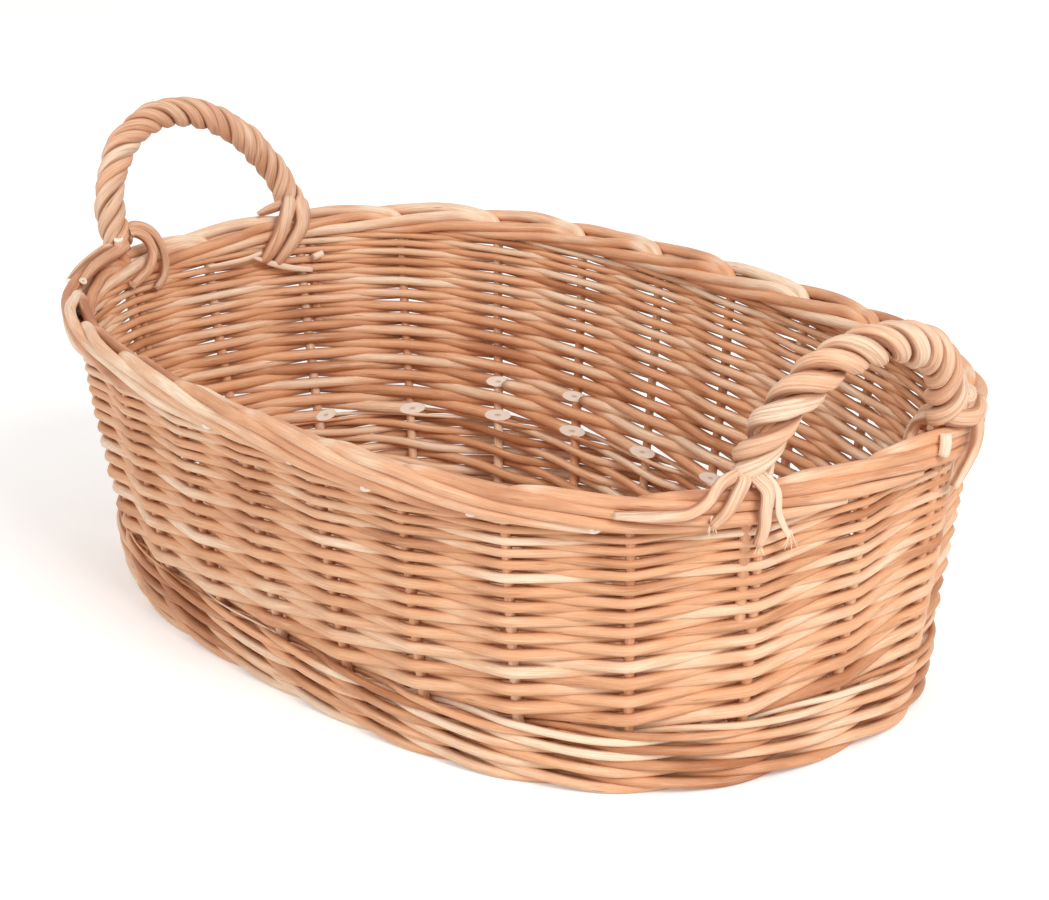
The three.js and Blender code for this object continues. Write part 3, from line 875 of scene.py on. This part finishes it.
# Loose bits: split ribbons, chips and frayed fibres, each through knots like a strand's end:
# stations, heights, distances outside the wall's middle line, and widths
scraps = {
    "leftHandleRibbon1": [
        (11.62, 118.4, -9.2, 1.6), (11.39, 112.5, -9.4, 3.0), (11.17, 108.6, -9.8, 3.0),
        (10.95, 105.9, -9, 2.4),
    ],
    "leftHandleRibbon2": [
        (11.5, 119.2, -9.2, 2.2), (11.68, 117.8, -9.2, 2.4), (11.9, 117.6, -8.6, 2.2),
        (12.1, 117.9, -8, 1.4),
    ],
    "leftHandleChip": [(10.82, 113.6, -8.6, 3.6), (10.93, 112.4, -9, 3.6)],
    "leftHandleCutEnd": [(13.12, 138, -3, 4.4), (13.14, 142, -3.4, 4.6)],
    "rightHandleCutEnd": [(0.68, 133, 8.6, 4.6), (0.67, 129.5, 9.4, 4.8), (0.65, 124.5, 9.6, 4.6)],
    "rightHandleRibbon": [
        (22.96, 137.6, 6.5, 3.6), (23.02, 131.5, 10.3, 3.2), (23.04, 122, 10.6, 3.0),
        (23.1, 115, 10.2, 2.6), (23.15, 110.2, 9.8, 2.0),
    ],
}
scrapLook = {"flat": 0.34}
fray = {
    "places": [(22.91, 110.2, 9.8), (23.15, 110.6, 9.8), (22.56, 121.5, 9.8)],
    "count": 6, "length": 5.0, "width": 0.45,
}


def alongWall(knots, flat):
    # an ellipse, flat times as deep as it is wide, carried through knots given from the wall
    points = smoothThrough([[*wallPoint(*knot[:3]), knot[3], knot[0]] for knot in knots], 1.5)
    theta = cornerAngles(8)
    half = points[:, 3:4] / 2
    section = np.stack([np.cos(theta)[None] * half * flat, np.sin(theta)[None] * half], -1)
    return carry(points[:, :3], 1.0, outwardAt(points[:, 4]), 8, section, tone=dice.uniform(0.7, 1.0))


for name, knots in scraps.items():
    whole = "CutEnd" in name or "Chip" in name
    rod = alongWall(knots, 1.0 if whole else scrapLook["flat"])
    makePiece(name, [rod], [splitWillow, cutWood])

fibres = []
for station, z, outside in fray["places"]:
    for number in range(fray["count"]):
        side = dice.uniform(-0.07, 0.07)
        drop = fray["length"] * dice.uniform(0.5, 1.2)
        lift = dice.uniform(-0.2, 1.2)
        root = (station + side * 0.1, z + 3, outside, fray["width"])
        bend = (station + side * 0.5, z - drop * 0.4, outside + lift, fray["width"])
        tip = (station + side, z - drop, outside + 2 * lift, fray["width"] * 0.5)
        fibres.append(alongWall([root, bend, tip], 0.7))
makePiece("handleFibres", fibres, [splitWillow, cutWood])
print("loose ends made")


# The woven base.

base = {
    "half": (193.2, 113.2), "thick": 8.0, "innermost": 11.0,
    "stickWidth": 4.8, "roundWidth": 4.15, "roundPitch": 4.413, "roundWave": 1.85,
    "longSticks": (-1, 0, 1), "longGap": 5.1, "longSpread": 1.6,   # they spread towards the ends
    "shortSticks": 9, "shortGap": 19.0, "crossHalf": 12, "crossRise": 1.4,
    "rays": (20, 41, 62),         # the rays of both ends, in degrees from the middle line
    "rayStart": 80.0,
    "longStop": 6, "stickStop": 5, "roundStop": 2,   # how far short of the edge they end
    "rayWidth": 4.8 / 1.15,       # a little thinner than the other sticks
    "stickTones": (0.2, 0.9), "roundTones": (0.1, 0.95),
    "sides": 8,
}


def layStick(points, radius):
    # a straight stick in the mat, its back up
    return carry(points, radius, (0, 0, 1), base["sides"], tone=dice.uniform(*base["stickTones"]))


def makeSticks():
    # long sticks in the middle, short ones across them, and rays from two points to the ends
    a, b = base["half"]
    p, middle, radius = basket["ovalPower"], base["thick"] / 2, base["stickWidth"] / 2
    longEnd, endX, endY = a - base["longStop"], a - base["stickStop"], b - base["stickStop"]
    rods = []
    for row in base["longSticks"]:
        xs = np.linspace(-longEnd, longEnd, 90)
        ys = row * base["longGap"] * (1 + base["longSpread"] * (np.abs(xs) / a) ** 3)
        rods.append(layStick(np.column_stack([xs, ys, np.full(90, middle)]), radius))
    for number in range(base["shortSticks"]):
        x = (number - (base["shortSticks"] - 1) / 2) * base["shortGap"]
        reach = endY * (1 - (abs(x) / a) ** p) ** (1 / p)
        ys = np.linspace(-reach, reach, 60)
        rise = base["crossRise"] * (1 if round(x / base["shortGap"]) % 2 else -1)
        zs = middle + np.where(np.abs(ys) < base["crossHalf"], rise, 0.0)
        rods.append(layStick(np.column_stack([np.full(60, x), ys, zs]), radius))
    far = np.linspace(14, 140, 400)[:, None]   # along a ray, from near its point to past the edge
    for end in (-1, 1):
        for way in np.radians([-k for k in base["rays"][::-1]] + list(base["rays"])):
            ray = np.array([end * math.cos(way), math.sin(way)])
            spots = np.array([end * base["rayStart"], 0.0]) + far * ray
            inside = (np.abs(spots[:, 0]) / endX) ** p + (np.abs(spots[:, 1]) / endY) ** p < 1
            spots = spots[inside][:: max(1, inside.sum() // 40)]
            points = np.column_stack([spots, np.full(len(spots), middle)])
            rods.append(layStick(points, base["rayWidth"] / 2))
    makePiece("baseSticks", rods, [baseWillow, cutWood])


def sticksPassed(x, y):
    # how many sticks a round has passed: short ones along the straight part, rays round the ends
    marks = [-90] + [-k for k in base["rays"][::-1]] + [0] + list(base["rays"]) + [90]
    rays = np.interp(np.degrees(np.arctan2(y, np.abs(x) - base["rayStart"])), marks, np.arange(9) - 4)
    upper = np.where(y >= 0, 1, -1)
    along = np.clip(x / base["shortGap"], -4.2, 4.2) * upper
    around = (4.2 + (4 - np.abs(rays))) * np.sign(x) * upper
    return np.where(np.abs(x) < base["rayStart"], along, around)


def makeRounds():
    # ovals, one inside the other, that go over and under the sticks in turn
    a, b = base["half"]
    stop = base["roundStop"]
    angle = np.linspace(0, 2 * np.pi, 1441)
    rods = []
    for number, inset in enumerate(np.arange(0, b - base["innermost"], base["roundPitch"])):
        x, y = ovalXY(a - stop - inset, b - stop - inset, angle)
        wave = np.cos(np.pi * sticksPassed(x, y) + np.pi * number)
        line = np.column_stack([x, y, base["thick"] / 2 + wave * base["roundWave"]])[:-1:3]
        line = np.concatenate([line, line[:1]])
        radius = base["roundWidth"] / 2 * (1 + wander(len(line), 0.04, 20))
        tone = dice.uniform(*base["roundTones"])
        rods.append(carry(line, radius, (0, 0, 1), base["sides"], tone=tone))
    makePiece("baseWeave", rods, [baseWillow, cutWood], ["base_mat"])


makeSticks()
makeRounds()
print("base woven")


# Floor, light and camera.

stage = {
    "floor": (0.93, 0.93, 0.92, 1), "world": (1.0, 0.99, 0.98, 1), "worldStrength": 0.66,
    "floorGlow": 0.26,       # seen by the camera, glass and metal only
    "floorHalf": 6.0,        # metres, as are the lamps' places and sizes
    "lookAt": (0, 0, 0.06),
    # place, power, size and colour
    "keyLight": ((1.8, -0.3, 1.5), 31, 0.8, (0.98, 0.98, 0.97)),
    "fillLight": ((-0.3, -1.9, 1.1), 9, 1.4, (1.0, 0.98, 0.96)),
}


def seenDirectly(tree):
    # 1 for rays from the camera, and those that glass or metal pass on, and 0 for light
    path = addNode(tree, "ShaderNodeLightPath").outputs
    passedOn = plus(tree, path["Is Glossy Ray"], path["Is Transmission Ray"])
    return plus(tree, path["Is Camera Ray"], passedOn, clamp=True)


def makeFloor():
    # a square that catches the shadow and glows a little for the camera only
    half = stage["floorHalf"]
    corners = [(-half, -half, 0), (half, -half, 0), (half, half, 0), (-half, half, 0)]
    mesh = bpy.data.meshes.new("floor")
    mesh.from_pydata(corners, [], [(0, 1, 2, 3)])
    floor = bpy.data.objects.new("floor", mesh)
    bpy.context.scene.collection.objects.link(floor)
    material = bpy.data.materials.new("paleFloor")
    material.use_nodes = True
    shader = material.node_tree.nodes["Principled BSDF"]
    shader.inputs["Base Color"].default_value = stage["floor"]
    shader.inputs["Roughness"].default_value = 0.9
    shader.inputs["Emission Color"].default_value = (1, 1, 1, 1)
    glow = times(material.node_tree, seenDirectly(material.node_tree), stage["floorGlow"])
    material.node_tree.links.new(glow, shader.inputs["Emission Strength"])
    mesh.materials.append(material)


def makeLight(name, place, power, size, colour):
    # a square lamp that faces the basket
    lamp = bpy.data.lights.new(name, "AREA")
    lamp.energy, lamp.size, lamp.color = power, size, colour
    light = bpy.data.objects.new(name, lamp)
    light.location = place
    light.rotation_mode = "QUATERNION"
    light.rotation_quaternion = (Vector(stage["lookAt"]) - Vector(place)).to_track_quat("-Z", "Y")
    bpy.context.scene.collection.objects.link(light)


makeFloor()
for name in ("keyLight", "fillLight"):
    makeLight(name, *stage[name])
world = bpy.data.worlds.new("studio")
world.use_nodes = True
world.node_tree.nodes["Background"].inputs[0].default_value = stage["world"]
seen = times(world.node_tree, seenDirectly(world.node_tree), 1 - stage["worldStrength"])
strength = plus(world.node_tree, seen, stage["worldStrength"])
world.node_tree.links.new(strength, world.node_tree.nodes["Background"].inputs[1])
bpy.context.scene.world = world

cameraSet = {
    "yaw": 0.915, "pitch": 0.335, "roll": -0.029,   # radians
    "distance": 1507.3, "shift": (8.88, 6.54), "targetHeight": 71.0,
    "focalPixels": 3471.4, "imageWidth": 1049, "sensorWidth": 36,
}


def makeCamera():
    # turned by yaw about the upright axis, by pitch above the floor and by roll about its own
    # axis, and set back from the target and shifted in its own plane
    yaw, pitch, roll = cameraSet["yaw"], cameraSet["pitch"], cameraSet["roll"]
    back = Vector((math.sin(yaw) * math.cos(pitch), -math.cos(yaw) * math.cos(pitch), math.sin(pitch)))
    right = Vector((math.cos(yaw), math.sin(yaw), 0))
    up = back.cross(right)
    turnedRight = right * math.cos(roll) + up * math.sin(roll)
    turnedUp = up * math.cos(roll) - right * math.sin(roll)
    target = Vector((0, 0, cameraSet["targetHeight"]))
    shiftRight, shiftUp = cameraSet["shift"]
    place = target + back * cameraSet["distance"] + turnedRight * shiftRight + turnedUp * shiftUp
    lens = bpy.data.cameras.new("photoCamera")
    lens.sensor_fit = "HORIZONTAL"
    lens.sensor_width = cameraSet["sensorWidth"]
    lens.lens = cameraSet["focalPixels"] * cameraSet["sensorWidth"] / cameraSet["imageWidth"]
    lens.clip_start, lens.clip_end = 0.05, 30
    camera = bpy.data.objects.new("photoCamera", lens)
    camera.matrix_world = Matrix((
        (turnedRight.x, turnedUp.x, back.x, place.x * mm),
        (turnedRight.y, turnedUp.y, back.y, place.y * mm),
        (turnedRight.z, turnedUp.z, back.z, place.z * mm),
        (0, 0, 0, 1),
    ))
    bpy.context.scene.collection.objects.link(camera)
    bpy.context.scene.camera = camera


makeCamera()
bpy.context.scene.view_settings.view_transform = "Standard"
print("scene ready")
